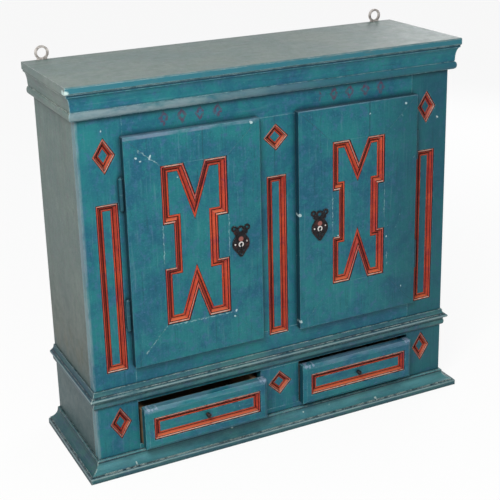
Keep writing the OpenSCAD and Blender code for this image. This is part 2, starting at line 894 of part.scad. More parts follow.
// Two notch blocks and two wedges that turn the opening into its outline
module door_blocks(shape) {
    a = opening_a(shape);
    n = a - shape[3];
    b = wedge_w / 2;
    low = opening_z0(shape);
    high = opening_z1(shape);
    color(teal) {
        for (s = [-1, 1]) board_face([
            for (p = [[a, -1], [n, -1], [n, 1], [a, 1]])
                [door_x + s * p[0], opening_mid(shape) + p[1] * shape[4] / 2]
        ]);
        board_face([[door_x - b, low], [door_x + b, low], [door_x, low + shape[6]]]);
        board_face([[door_x - b, high], [door_x + b, high], [door_x, high - shape[5]]]);
    }
}

// The thin board inside the door moulding
module door_field(shape) {
    color(teal) on_face(core_y0) linear_extrude(board_t - field_drop)
        polygon(inset_all(motif(shape), door_mould_w + fit));
}

module door_moulding(shape) {
    color(red) on_face(core_y0)
        strip_frame(motif(shape), door_mould_w, strip_profile(door_mould_w, board_t));
}

// Half of the shield: a rounded tip, a bulge and a shoulder
function shield_side(w, h) = concat(
    arc([0, -h * 0.335], [w * 0.22, h * 0.05], -90, -10, 4),
    arc([w * 0.28, h * 0.02], [w * 0.64, h * 0.24], -50, 50, 10),
    [[w * 0.5, h * 0.3], [w * 0.3, h * 0.38]]
);

module shield(w, h) {
    side = shield_side(w, h);
    n = len(side);
    polygon(concat(side, [for (i = [n - 1:-1:1]) [-side[i][0], side[i][1]]]));
}

// A pierced plate: a shield under a crown of one loop between two rings
module escutcheon() {
    w = plate_w / 2;
    h = plate_h;
    ring = [w * 0.7, h * 0.5];
    color(iron) difference() {
        translate([key_x, 0, key_height]) on_face(door_y0) {
            linear_extrude(plate_t) difference() {
                union() {
                    shield(w, h);
                    translate([0, h * 0.43]) circle(r = w * 0.46, $fn = facets);
                    for (s = [-1, 1]) {
                        translate([s * ring[0], ring[1]]) circle(r = w * 0.3, $fn = facets);
                        translate([s * w * 0.5, h * 0.37]) circle(r = w * 0.24, $fn = facets);
                    }
                }
                translate([0, h * 0.45]) circle(r = w * 0.21, $fn = facets);
                translate([0, -h * 0.31]) circle(r = w * 0.1, $fn = facets);
                for (s = [-1, 1]) {
                    translate([s * ring[0], ring[1]]) circle(r = w * 0.14, $fn = facets);
                    translate([s * w * 0.27, -h * 0.2]) circle(r = w * 0.09, $fn = facets);
                }
            }
            cylinder(r = key_r * 1.45, h = plate_t + collar_h, $fn = facets);
        }
        keyway();
    }
}

// The lock case stands on the back of the core and carries the pin that a hollow key turns on
module lock_case() {
    z0 = key_height - lock_h * 0.55;
    color(iron) {
        difference() {
            block([core_x0 + over, core_x0 + over + lock_w], [core_y1, lock_y1], [z0, z0 + lock_h]);
            block([core_x0, core_x0 + over + bolt_l + bolt_gap],
                  [bolt_y - bolt_t / 2 - bolt_gap, bolt_y + bolt_t / 2 + bolt_gap],
                  [bolt_z - bolt_gap, bolt_z + bolt_h + bolt_gap]);
        }
        translate([key_x, core_y1, key_height]) rotate([90, 0, 0])
            cylinder(r = key_r * 0.42, h = core_t + board_t, $fn = facets);
    }
}

module lock_bolt() {
    x = core_x0 + over;
    color(iron)
        block([x, x + bolt_l], [bolt_y - bolt_t / 2, bolt_y + bolt_t / 2], [bolt_z, bolt_z + bolt_h]);
}

// A drawer front bevelled on all four sides
module bevelled_front() {
    intersection() {
        translate([0, 0, front_z0]) linear_extrude(front_z1 - front_z0) polygon([
            [front_x0, front_t], [front_x0, bevel_d], [front_x0 + bevel_w, 0],
            [front_x1 - bevel_w, 0], [front_x1, bevel_d], [front_x1, front_t]
        ]);
        translate([front_x0, 0, 0]) rotate([90, 0, 90]) linear_extrude(front_x1 - front_x0) polygon([
            [front_t, front_z0], [bevel_d, front_z0], [0, front_z0 + bevel_w],
            [0, front_z1 - bevel_w], [bevel_d, front_z1], [front_t, front_z1]
        ]);
    }
}

// One side board of a drawer in y and z, with dovetails at its front end
module dovetail_outline(grow) {
    pitch = drawer_side_h / tails;
    y0 = dovetail_lap - grow;
    for (i = [0:tails - 1]) {
        z = front_z0 + pitch * (i + 0.5);
        polygon([
            [y0, z - pitch * 0.38 - grow], [y0, z + pitch * 0.38 + grow],
            [front_t + over, z + pitch * 0.24 + grow], [front_t + over, z - pitch * 0.24 - grow]
        ]);
    }
}

module drawer_tails(x, grow) {
    translate([x - grow, 0, 0]) rotate([90, 0, 90]) linear_extrude(drawer_side_t + 2 * grow)
        dovetail_outline(grow);
}

module floor_panel(grow) {
    z = front_z0 + drawer_floor_z;
    block([side_x0 + drawer_side_t - panel_groove - grow, side_x1 - drawer_side_t + panel_groove + grow],
          [front_t - panel_groove - grow, drawer_end], [z - grow, z + drawer_floor_t + grow]);
}

// The back of a drawer, housed in its sides over the bottom
module drawer_back(grow) {
    y = drawer_end - 2 * drawer_side_t;
    z = front_z0 + drawer_floor_z + drawer_floor_t + fit;
    block([side_x0 + drawer_side_t - panel_groove - grow, side_x1 - drawer_side_t + panel_groove + grow],
          [y - grow, y + drawer_side_t + grow],
          [z - grow, front_z0 + drawer_side_h + (grow > 0 ? over : 0)]);
}

module drawer_front() {
    color(teal) difference() {
        bevelled_front();
        drawer_tails(side_x0, fit);
        drawer_tails(side_x1 - drawer_side_t, fit);
        floor_panel(fit);
        strip_seat(drawer_outline(), drawer_strip);
        translate([drawer_x, front_t, (front_z0 + front_z1) / 2]) rotate([90, 0, 0])
            cylinder(r = knob_r * 0.4 + nail_gap, h = front_t + over, $fn = facets);
    }
}

module drawer_sides() {
    color(bare) {
        for (x = [side_x0, side_x1 - drawer_side_t]) difference() {
            union() {
                block([x, x + drawer_side_t], [front_t, drawer_end],
                      [front_z0, front_z0 + drawer_side_h]);
                drawer_tails(x, 0);
            }
            floor_panel(fit);
            drawer_back(fit);
        }
        drawer_back(0);
    }
}

module drawer_bottom() {
    color(bare) floor_panel(0);
}

module drawer_moulding() {
    color(red) on_face(sink)
        strip_frame(drawer_outline(), drawer_strip, strip_profile(drawer_strip, sink));
}

module drawer_knob() {
    r = knob_r;
    l = knob_l;
    shank = front_t - field_drop;
    color(iron) translate([drawer_x, front_t, (front_z0 + front_z1) / 2]) rotate([90, 0, 0])
        translate([0, 0, shank]) rotate_extrude($fn = facets) polygon(concat(
            [[0, -shank], [r * 0.4, -shank], [r * 0.4, 0], [r * 0.7, 0]],
            [[r * 0.7, l * 0.1], [r * 0.45, l * 0.3]],
            arc([0, l * 0.68], [r, l * 0.32], -50, 90, 10)
        ));
}

module left_door_core() {
    left() door_core();
}

module left_door_battens() {
    left() door_battens();
}

module left_door_boards() {
    left() door_boards(left_shape);
}

module left_door_blocks() {
    left() door_blocks(left_shape);
}

module left_door_field() {
    left() door_field(left_shape);
}

module left_door_moulding() {
    left() door_moulding(left_shape);
}

module left_escutcheon() {
    left() escutcheon();
}

module left_lock_case() {
    left() lock_case();
}

module left_lock_bolt() {
    left() lock_bolt();
}

module left_door_hinges() {
    left() door_hinges();
}

module right_door_core() {
    door_core();
}

module right_door_battens() {
    door_battens();
}

module right_door_boards() {
    door_boards(right_shape);
}

module right_door_blocks() {
    door_blocks(right_shape);
}

module right_door_field() {
    door_field(right_shape);
}

module right_door_moulding() {
    door_moulding(right_shape);
}

module right_escutcheon() {
    escutcheon();
}

module right_lock_case() {
    lock_case();
}

module right_lock_bolt() {
    lock_bolt();
}

module right_door_hinges() {
    door_hinges();
}

module left_drawer_front() {
    left() drawn(left_out) drawer_front();
}

module left_drawer_sides() {
    left() drawn(left_out) drawer_sides();
}

module left_drawer_bottom() {
    left() drawn(left_out) drawer_bottom();
}

module left_drawer_moulding() {
    left() drawn(left_out) drawer_moulding();
}

module left_drawer_knob() {
    left() drawn(left_out) drawer_knob();
}

module right_drawer_front() {
    drawn(right_out) drawer_front();
}

module right_drawer_sides() {
    drawn(right_out) drawer_sides();
}

module right_drawer_bottom() {
    drawn(right_out) drawer_bottom();
}

module right_drawer_moulding() {
    drawn(right_out) drawer_moulding();
}

module right_drawer_knob() {
    drawn(right_out) drawer_knob();
}

side_left();
side_right();
top_board();
bottom_board();
middle_deck();
shelf();
shelf_cleats();
back_boards();
stile_left();
stile_right();
stile_centre();
drawer_stile();
frieze_rail();
waist_rail();
bottom_rail();
drawer_guides();
cornice_front();
cornice_left();
cornice_right();
waist_front();
waist_left();
waist_right();
base_front();
base_left();
base_right();
tall_mouldings();
lozenges();
hanger_left();
hanger_right();
frame_hinges();
left_door_core();
left_door_battens();
left_door_boards();
left_door_blocks();
left_door_field();
left_door_moulding();
left_escutcheon();
left_lock_case();
left_lock_bolt();
left_door_hinges();
right_door_core();
right_door_battens();
right_door_boards();
right_door_blocks();
right_door_field();
right_door_moulding();
right_escutcheon();
right_lock_case();
right_lock_bolt();
right_door_hinges();
left_drawer_front();
left_drawer_sides();
left_drawer_bottom();
left_drawer_moulding();
left_drawer_knob();
right_drawer_front();
right_drawer_sides();
right_drawer_bottom();
right_drawer_moulding();
right_drawer_knob();
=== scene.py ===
"""Looks of the painted hanging cupboard: worn blue-green and red paint, bare wood inside, dark iron."""
import math

import bmesh
import bpy
from mathutils import Matrix, Vector


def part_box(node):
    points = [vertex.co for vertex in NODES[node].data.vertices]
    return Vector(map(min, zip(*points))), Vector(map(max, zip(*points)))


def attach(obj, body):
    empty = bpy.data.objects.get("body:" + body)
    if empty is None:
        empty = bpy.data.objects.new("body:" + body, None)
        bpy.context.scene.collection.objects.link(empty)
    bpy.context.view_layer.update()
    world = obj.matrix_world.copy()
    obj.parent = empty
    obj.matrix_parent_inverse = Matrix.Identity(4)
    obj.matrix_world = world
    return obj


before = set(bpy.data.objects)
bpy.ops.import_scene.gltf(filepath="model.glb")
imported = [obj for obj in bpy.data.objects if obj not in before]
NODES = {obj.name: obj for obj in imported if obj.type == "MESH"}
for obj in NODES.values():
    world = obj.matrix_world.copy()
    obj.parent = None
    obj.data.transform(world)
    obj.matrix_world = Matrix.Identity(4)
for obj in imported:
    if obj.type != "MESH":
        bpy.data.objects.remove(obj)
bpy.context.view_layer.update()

# Camera of the photograph: degrees, metres, and pixels of a frame 500 wide
IMAGE = 500
AZIMUTH, ELEVATION, ROLL = -26.160, 18.551, -1.414
FOCAL_PX = 1149.5
CENTRE_PX = (250.0, 200.0)
DISTANCE = 2.4180
AIM = Vector((0.0, 0.150, 0.400))
ASIDE, ABOVE = 0.0120, 0.0535
SENSOR_MM = 36.0
FAR_CLIP = 100

# Light and floor: metres and watts
FLOOR_HALF, FLOOR_DROP = 25.0, 0.0005
FLOOR_GLOW = 0.90
FLOOR_TONES = ((0.80, 0.80, 0.79), (0.84, 0.84, 0.83))
SKY_FILL, SKY_TINT = 0.37, (0.95, 0.97, 1.0, 1)
WHITE = (1, 1, 1, 1)
LAMPS = {
    "key": ((-1.20, -1.30, 1.85), 0.9, 55, (1.0, 0.985, 0.96)),
    "front_fill": ((-0.6, -3.2, 1.2), 2.2, 13, (0.96, 0.98, 1.0)),
    "rear_fill": ((2.2, 1.5, 1.4), 1.8, 26, (0.97, 0.98, 1.0)),
}

# Pieces that are made here: the two nails beside each keyhole, and the keyhole's height on its plate
KEYHOLE_UP = 0.0258
KEY_RED_UP = 0.011
NAIL_RADIUS, NAIL_RISE, NAIL_SINK = 0.0020, 0.0018, 0.0010
NAIL_PLACES = ((-0.0125, 0.001), (0.0125, 0.005))

# The planks of the back, and how far their joints shift on the outside
BACK_COUNT, BACK_LAP = 5, 0.006


def make_camera():
    """The photograph's view, with its centre moved by a shift of the lens."""
    az, el, roll = (math.radians(a) for a in (AZIMUTH, ELEVATION, ROLL))
    back = Vector((math.sin(az) * math.cos(el), -math.cos(az) * math.cos(el), math.sin(el)))
    right = (-back).cross(Vector((0, 0, 1))).normalized()
    up = right.cross(-back)
    level, tilt = math.cos(roll), math.sin(roll)
    right, up = right * level + up * tilt, up * level - right * tilt
    data = bpy.data.cameras.new("camera")
    data.sensor_width = SENSOR_MM
    data.lens = FOCAL_PX / IMAGE * SENSOR_MM
    data.shift_x = (IMAGE / 2 - CENTRE_PX[0]) / IMAGE
    data.shift_y = (CENTRE_PX[1] - IMAGE / 2) / IMAGE
    data.clip_end = FAR_CLIP
    camera = bpy.data.objects.new("camera", data)
    place = AIM + right * ASIDE + up * ABOVE + back * DISTANCE
    camera.matrix_world = Matrix.Translation(place) @ Matrix((right, up, back)).transposed().to_4x4()
    bpy.context.scene.collection.objects.link(camera)
    bpy.context.scene.camera = camera


class Shader:
    """A material's node tree, built by short calls that each return a socket."""

    def __init__(self, name):
        self.material = bpy.data.materials.new(name)
        self.material.use_nodes = True
        self.nodes = self.material.node_tree.nodes
        self.links = self.material.node_tree.links
        self.out = self.nodes["Principled BSDF"]
        own = self.nodes.new("ShaderNodeTexCoord").outputs
        self.place, self.own_normal = own["Object"], own["Normal"]
        self.normal = self.nodes.new("ShaderNodeNewGeometry").outputs["Normal"]
        self.ragged = None

    def feed(self, socket, value):
        """Links a socket's value, or sets a constant on the input itself."""
        if isinstance(value, bpy.types.NodeSocket):
            self.links.new(value, socket)
        elif isinstance(value, tuple) and len(value) == 3 and socket.type == "RGBA":
            socket.default_value = (*value, 1)
        else:
            socket.default_value = value

    def node(self, kind, inputs, **settings):
        made = self.nodes.new(kind)
        for key, value in settings.items():
            setattr(made, key, value)
        for key, value in inputs.items():
            self.feed(made.inputs[key], value)
        return made

    def math(self, how, a, b=0.0, clamp=True):
        return self.node("ShaderNodeMath", {0: a, 1: b}, operation=how, use_clamp=clamp).outputs[0]

    def times(self, a, b):
        return self.math("MULTIPLY", a, b, clamp=False)

    def vector(self, how, a, b, result=0):
        return self.node("ShaderNodeVectorMath", {0: a, 1: b}, operation=how).outputs[result]

    def dot(self, a, b):
        return self.vector("DOT_PRODUCT", a, b, "Value")

    def span(self, value, low, high, to_low=0.0, to_high=1.0):
        """A soft step from one value to another, clamped at both ends."""
        ends = {"Value": value, "From Min": low, "From Max": high, "To Min": to_low, "To Max": to_high}
        return self.node("ShaderNodeMapRange", ends, interpolation_type="SMOOTHSTEP").outputs[0]

    def mix(self, a, b, amount):
        return self.node("ShaderNodeMix", {"Factor": amount, 6: a, 7: b}, data_type="RGBA").outputs[2]

    def cover(self, colour, coat, mask, strength=1.0):
        """Lays a coat of another colour over a colour, where the mask is."""
        return self.mix(colour, coat, self.times(mask, strength))

    def noise(self, scale, stretch=(1, 1, 1), detail=4.0, rough=0.55, shift=(0, 0, 0), warp=0.0,
              out="Fac"):
        place = self.vector("MULTIPLY", self.vector("ADD", self.place, shift), stretch)
        made = self.node("ShaderNodeTexNoise", {"Vector": place, "Scale": scale, "Detail": detail,
                                                "Roughness": rough, "Distortion": warp})
        return made.outputs[out]

    def soft_normal(self, radius):
        return self.node("ShaderNodeBevel", {"Radius": radius}, samples=4).outputs["Normal"]

    def edges(self, radius, low=0.01, high=0.14):
        """1 on sharp edges, 0 on flat faces."""
        bend = self.math("SUBTRACT", 1.0, self.dot(self.soft_normal(radius), self.normal))
        return self.span(bend, low, high)

    def crevices(self, distance):
        """1 in corners and grooves, 0 in the open."""
        made = self.node("ShaderNodeAmbientOcclusion", {"Distance": distance}, samples=6)
        return self.span(made.outputs["AO"], 0.95, 0.35)

    def facing(self, way, low, high):
        """0 to 1 where the piece's own face turns towards a direction, also when the piece moves."""
        return self.span(self.dot(self.own_normal, way), low, high)

    def along(self, axis, low, high):
        """0 to 1 where the coordinate on an axis goes from low to high."""
        return self.span(self.dot(self.place, axis), low, high)

    def wander(self):
        """The place with a small unsteady shift, so that what is drawn by it gets ragged outlines."""
        if self.ragged is None:
            drift = self.vector("SUBTRACT", self.noise(170.0, detail=3, out="Color"), (0.5, 0.5, 0.5))
            drift = self.vector("MULTIPLY", drift, (0.009, 0.0, 0.009))
            self.ragged = self.vector("ADD", self.place, drift)
        return self.ragged

    def spot(self, x, z, radius):
        """1 on a ragged round spot on the front."""
        flat = self.vector("MULTIPLY", self.wander(), (1, 0, 1))
        return self.span(self.vector("DISTANCE", flat, (x, 0, z), "Value"), radius, radius * 0.6)

    def stroke(self, x0, z0, x1, z1, half):
        """1 on a ragged line drawn on the front."""
        way = Vector((x1 - x0, 0, z1 - z0))
        length = way.length
        way.normalize()
        from_start = self.vector("SUBTRACT", self.wander(), (x0, 0, z0))
        forth = self.dot(from_start, tuple(way))
        across = self.math("ABSOLUTE", self.dot(from_start, (-way.z, 0, way.x)))
        inside = self.times(self.span(forth, 0.0, 0.002), self.span(forth, length, length - 0.002))
        return self.times(inside, self.span(across, half, half * 0.5))

    def marks(self, drawn):
        """All spots (x, z, radius) and strokes (x0, z0, x1, z1, half width) of a list."""
        mask = None
        for mark in drawn:
            new = self.spot(*mark) if len(mark) == 3 else self.stroke(*mark)
            mask = new if mask is None else self.math("MAXIMUM", mask, new)
        return mask

    def finish(self, colour, rough, height, depth, soft=0.0008, metal=0.0, shine=0.28):
        """Feeds the surface, with rounded edges and a bump of the given depth."""
        self.feed(self.out.inputs["Base Color"], colour)
        self.feed(self.out.inputs["Roughness"], rough)
        self.feed(self.out.inputs["Metallic"], metal)
        self.feed(self.out.inputs["Specular IOR Level"], shine)
        bump = self.node("ShaderNodeBump", {"Height": height, "Distance": depth, "Strength": 0.8,
                         "Normal": self.soft_normal(soft)})
        self.links.new(bump.outputs["Normal"], self.out.inputs["Normal"])
        return self.material


GRAIN = {"x": (0.05, 1, 1), "y": (1, 0.05, 1), "z": (1, 1, 0.05)}
X, Y, Z = (1, 0, 0), (0, 1, 0), (0, 0, 1)
UP, LEFT, ROOM, WALL = (0, 0, 1), (-1, 0, 0), (0, -1, 0), (0, 1, 0)

# Each paint: three tones, its dirt (also laid as painted shade in corners and grooves), and what shows
# where it is rubbed off
TEAL = ((0.002, 0.073, 0.122), (0.006, 0.134, 0.146), (0.028, 0.096, 0.184),
        (0.002, 0.018, 0.030), (0.22, 0.37, 0.41))
WEATHERED = ((0.012, 0.074, 0.100), (0.034, 0.124, 0.126), (0.044, 0.080, 0.135),
             (0.003, 0.015, 0.022), (0.32, 0.40, 0.38))
SIDE_TEAL = ((0.004, 0.042, 0.066), (0.016, 0.076, 0.074), (0.022, 0.040, 0.088),
             (0.002, 0.008, 0.014), (0.30, 0.38, 0.37))
FADED = ((0.058, 0.105, 0.098), (0.098, 0.144, 0.126), (0.100, 0.100, 0.113),
         (0.006, 0.014, 0.014), (0.46, 0.50, 0.46))
TOP = ((0.084, 0.134, 0.127), (0.116, 0.157, 0.139), (0.122, 0.132, 0.146),
       (0.010, 0.022, 0.022), (0.44, 0.48, 0.46))
RED = ((0.260, 0.013, 0.008), (0.450, 0.054, 0.014), (0.210, 0.017, 0.036),
       (0.016, 0.002, 0.005), (0.50, 0.24, 0.17))
# Painted shade: a shaded teal, and a near-black for gaps, hollows and faces turned from the light; the
# hinge paint also takes them as its deep tone and its dirt
SHADED = (0.001, 0.044, 0.062)
DEEP_SHADE_AND_DIRT = (0.001, 0.014, 0.026)
HINGE = (SHADED, (0.002, 0.060, 0.080), (0.004, 0.040, 0.075), DEEP_SHADE_AND_DIRT, TEAL[4])

# What is painted or rubbed on one kind of piece
DOOR_CHIP, DOOR_CRACK, LILAC = (0.42, 0.54, 0.55), (0.26, 0.40, 0.42), (0.17, 0.22, 0.30)
STILE_CHIP, STILE_EDGE = (0.42, 0.50, 0.50), (0.20, 0.26, 0.28)
MAROON, CORNICE_SHADOW, BLEACHED = (0.070, 0.022, 0.055), (0.040, 0.010, 0.012), (0.21, 0.26, 0.27)
RIDGE_HIGHLIGHT, BASE_SLOPE, BASE_CHIP = (0.24, 0.31, 0.32), (0.07, 0.24, 0.27), (0.42, 0.50, 0.48)
SIDE_DULL, SIDE_LOW_DARK = (0.050, 0.062, 0.052), (0.026, 0.042, 0.032)
SIDE_DAMP, SIDE_FOOT = (0.072, 0.070, 0.040), (0.012, 0.052, 0.060)
TOP_EDGE, TOP_CHIP, DRAWER_CHIP = (0.012, 0.120, 0.160), (0.42, 0.54, 0.52), (0.26, 0.31, 0.42)
SALMON, CREAM, BEAD_RED = (0.62, 0.16, 0.06), (0.56, 0.50, 0.42), (0.30, 0.05, 0.05)

# Wood: its two tones, then pores, stains, painted shade for corners, the darkest board and the joints
WOOD = ((0.150, 0.092, 0.048), (0.270, 0.180, 0.100))
WOOD_PORE, WOOD_STAIN, WOOD_CORNER_SHADE = (0.075, 0.045, 0.024), (0.110, 0.078, 0.050), (0.060, 0.038, 0.022)
BOARD_TONE, BOARD_JOINT = (0.095, 0.058, 0.032), (0.012, 0.008, 0.005)

# Iron: a dark and a light tone of each kind, then rust, what a key has reddened, and bright metal
DARK_IRON = ((0.004, 0.004, 0.005), (0.022, 0.021, 0.024))
PALE_IRON = ((0.26, 0.235, 0.22), (0.66, 0.62, 0.59))
RUST, KEY_RED, BRIGHT = (0.105, 0.036, 0.028), (0.34, 0.12, 0.10), (0.66, 0.64, 0.62)


def painted(name, grain, palette, wear=0.75, chips=0.4, rim=0.0022, mottle=1.0, touch=None):
    """Old brushed oil paint: mottled tones, strokes along the grain, painted shade in corners and grooves,
    edges rubbed pale.
    """
    deep, green, violet, dirt_and_shade, worn = palette
    s = Shader(name)
    along = GRAIN[grain]
    patches = s.noise(9.0, detail=6, rough=0.65, warp=0.5)
    greens = s.noise(58.0, detail=6, rough=0.7, shift=(3.1, 0.7, 1.3))
    violets = s.noise(72.0, detail=6, rough=0.7, shift=(7.4, 2.6, 5.3))
    strokes = s.noise(230.0, along, detail=5, rough=0.65)
    fine = s.noise(900.0, along, detail=3)
    grit = s.noise(290.0, detail=4, rough=0.8, shift=(1.7, 2.9, 0.3))
    colour = s.mix(deep, green, s.span(patches, 0.36, 0.66))
    colour = s.cover(colour, green, s.span(greens, 0.48, 0.66), 0.65)
    colour = s.cover(colour, violet, s.span(violets, 0.50, 0.68), 0.75)
    colour = s.cover(colour, worn, s.span(strokes, 0.54, 0.80), 0.17)
    colour = s.cover(colour, dirt_and_shade, s.span(strokes, 0.45, 0.22), 0.50)
    colour = s.cover(colour, worn, s.span(grit, 0.54, 0.80), 0.26 * mottle)
    colour = s.cover(colour, dirt_and_shade, s.span(grit, 0.46, 0.24), 0.60 * mottle)
    lines = s.noise(120.0, tuple(v * v for v in along), detail=2, shift=(0.2, 5.1, 2.2))
    colour = s.cover(colour, dirt_and_shade, s.span(lines, 0.70, 0.76), 0.5)
    if touch:
        colour = touch(s, colour)
    # Painted shade: the dirt tone laid where corners and grooves are hidden from the light
    crevice_shade = s.crevices(0.014)
    colour = s.cover(colour, dirt_and_shade, crevice_shade, 0.95)
    rubbed = s.noise(75.0, detail=5, rough=0.7, shift=(8.0, 1.0, 4.0))
    bare = s.times(s.edges(rim), s.span(rubbed, 0.36, 0.60))
    chipped = s.span(s.noise(38.0, detail=4, rough=0.75, shift=(4.0, 9.0, 2.0)), 0.71, 0.74)
    colour = s.cover(colour, worn, bare, wear)
    colour = s.cover(colour, worn, chipped, chips)
    gloss = s.span(s.math("ADD", s.times(greens, 0.6), s.times(crevice_shade, 0.4)), 0.2, 0.6, 0.42, 0.66)
    relief = s.math("ADD", s.times(strokes, 0.5), s.times(s.math("ADD", fine, grit), 0.25))
    flaked = s.times(s.math("ADD", chipped, bare), 0.4)
    return s.finish(colour, gloss, s.math("SUBTRACT", relief, flaked), 0.0008)


def bare_wood(name, grain, touch=None):
    """Old softwood: grain lines, year rings and a darkened skin."""
    s = Shader(name)
    along = GRAIN[grain]
    rings = s.noise(55.0, along, detail=3, warp=1.2)
    pores = s.noise(520.0, along, detail=4)
    stain = s.noise(5.0, detail=4, shift=(2.0, 0.0, 7.0))
    colour = s.mix(*WOOD, s.span(rings, 0.35, 0.65))
    colour = s.cover(colour, WOOD_PORE, s.span(pores, 0.56, 0.75), 0.6)
    colour = s.cover(colour, WOOD_STAIN, s.span(stain, 0.4, 0.7), 0.55)
    if touch:
        colour = touch(s, colour)
    # Painted shade in corners and grooves
    colour = s.cover(colour, WOOD_CORNER_SHADE, s.crevices(0.02), 0.7)
    relief = s.math("ADD", s.times(rings, 0.4), s.times(pores, 0.5))
    return s.finish(colour, s.span(rings, 0.3, 0.7, 0.62, 0.82), relief, 0.0007)


def wrought_iron(name, tones=DARK_IRON, rust=0.5, wear=0.45, bright=None):
    """Forged iron with rust in patches and bright specks on its edges, partly rubbed metal and partly
    painted glints; bright is the point that a key has rubbed clean.
    """
    dark, light = tones
    s = Shader(name)
    scale = s.noise(150.0, detail=6, rough=0.7)
    rusty = s.span(s.noise(60.0, detail=5, rough=0.7, shift=(6.0, 2.0, 3.0)), 0.50, 0.66)
    colour = s.mix(dark, light, s.span(scale, 0.35, 0.7))
    colour = s.cover(colour, RUST, rusty, rust)
    # Bright metal in specks along the edges: partly rubbed iron, partly painted glints
    glints = s.span(s.noise(420.0, detail=2, shift=(3.0, 3.0, 1.0)), 0.46, 0.66)
    worn = s.times(s.times(s.edges(0.0007), glints), wear)
    if bright:
        away = s.vector("DISTANCE", s.place, bright, "Value")
        rubbed = s.span(away, 0.0062, 0.0050)
        reddened = (bright[0], bright[1], bright[2] + KEY_RED_UP)
        over = s.vector("DISTANCE", s.place, reddened, "Value")
        colour = s.cover(colour, KEY_RED, s.span(over, 0.0062, 0.0040), 0.8)
        worn = s.math("ADD", worn, s.times(rubbed, s.span(scale, 0.15, 0.45)))
    colour = s.mix(colour, BRIGHT, worn)
    rough = s.span(scale, 0.3, 0.7, 0.36, 0.60)
    return s.finish(colour, rough, scale, 0.0003, soft=0.0004, metal=0.75, shine=0.5)


def dress(names, material):
    """Gives CAD nodes a material."""
    for name in names:
        for slot in NODES[name].material_slots:
            slot.material = material


def door_marks(side):
    """Chips, and pale cracks along the mitre and the notch blocks, of one door."""
    low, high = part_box(f"{side}_door_boards")
    inner_low, inner_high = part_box(f"{side}_door_moulding")
    x0, x1, z0, z1 = inner_low[0], inner_high[0], inner_low[2], inner_high[2]
    seams = [(x0, z0 + 0.125, x0, z1 - 0.115, 0.0011), (x1, z0 + 0.125, x1, z1 - 0.115, 0.0009)]
    if side == "left":
        chips = [(-0.294, 0.634, 0.0030), (-0.267, 0.632, 0.0036), (-0.286, 0.626, 0.0018),
                 (-0.060, 0.669, 0.0035), (-0.104, 0.281, 0.0022), (-0.101, 0.292, 0.0030),
                 (-0.212, 0.583, 0.0016)]
        seams += [(low[0] + 0.022, low[2] + 0.024, x0, z0, 0.0015),
                  (low[0] + 0.026, high[2] - 0.026, x0, z1, 0.0012),
                  (x0 + 0.002, z0 - 0.002, x1 + 0.006, z0 - 0.002, 0.0012)]
    else:
        chips = [(0.290, 0.660, 0.0030), (0.248, 0.382, 0.0022), (0.131, 0.405, 0.0026),
                 (0.124, 0.402, 0.0030), (0.286, 0.263, 0.0020), (0.205, 0.650, 0.0016),
                 (low[0] + 0.002, 0.464, 0.0042), (low[0] + 0.002, 0.234, 0.0036)]
        seams += [(0.2485, 0.318, 0.2485, 0.352, 0.0013)]
    return chips, seams


def touch_door(side):
    """The door's own marks, a pale strip along its top that is partly rubbed paint and partly a painted
    highlight, and painted shade towards the right and on faces turned left or up.
    """
    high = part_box(f"{side}_door_boards")[1][2]
    chips, seams = door_marks(side)
    width, strength = (0.0075, 0.60) if side == "left" else (0.0026, 0.45)
    shade, top_shade = (0.12, 0.0) if side == "left" else (0.55, 0.6)

    def touch(s, colour):
        patchy = s.span(s.noise(45.0, (0.4, 1, 1), detail=5, rough=0.7, shift=(2.0, 4.0, 1.0)), 0.30, 0.62)
        # Pale strip along the top: rubbed paint, and a painted highlight of the lit top edge
        strip = s.times(s.along(Z, high - width, high - width * 0.7), patchy)
        colour = s.cover(colour, LILAC, strip, strength)
        broken = s.span(s.noise(160.0, detail=3, shift=(5.0, 5.0, 1.0)), 0.42, 0.56)
        colour = s.cover(colour, DOOR_CRACK, s.times(s.marks(seams), broken), 0.60)
        # Painted shade towards the right end, and on faces that turn to the left or up
        colour = s.cover(colour, SHADED, s.along(X, 0.16, 0.34), shade)
        colour = s.cover(colour, DEEP_SHADE_AND_DIRT, s.facing(LEFT, 0.70, 0.90), 0.8)
        colour = s.cover(colour, DEEP_SHADE_AND_DIRT, s.facing(UP, 0.70, 0.90), top_shade)
        return s.cover(colour, DOOR_CHIP, s.marks(chips), 0.75)

    return touch


def cornice_shadow_line(s, colour):
    """A painted shadow line, dark with some red in it, under the cornice where it sits on the frame."""
    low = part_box("cornice_front")[0][2]
    return s.cover(colour, CORNICE_SHADOW, s.along(Z, low - 0.0030, low - 0.0018), 0.75)


def touch_stiles(s, colour):
    """A pale corner on the left, painted shadow under the cornice, painted shade towards the right end, and
    chips beside the doors.
    """
    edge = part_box("stile_left")[0][0]
    corner = s.times(s.along(X, edge + 0.006, edge + 0.002),
                     s.span(s.noise(30.0, (1, 1, 0.4), detail=5, rough=0.7), 0.30, 0.60))
    colour = s.cover(colour, STILE_EDGE, corner, 0.5)
    colour = cornice_shadow_line(s, colour)
    # Painted shade towards the right end
    colour = s.cover(colour, SHADED, s.along(X, 0.20, 0.36), 0.55)
    chips = [(0.377, 0.617, 0.0026), (0.317, 0.572, 0.0022), (-0.353, 0.690, 0.0012),
             (0.320, 0.640, 0.0016)]
    return s.cover(colour, STILE_CHIP, s.marks(chips), 0.8)


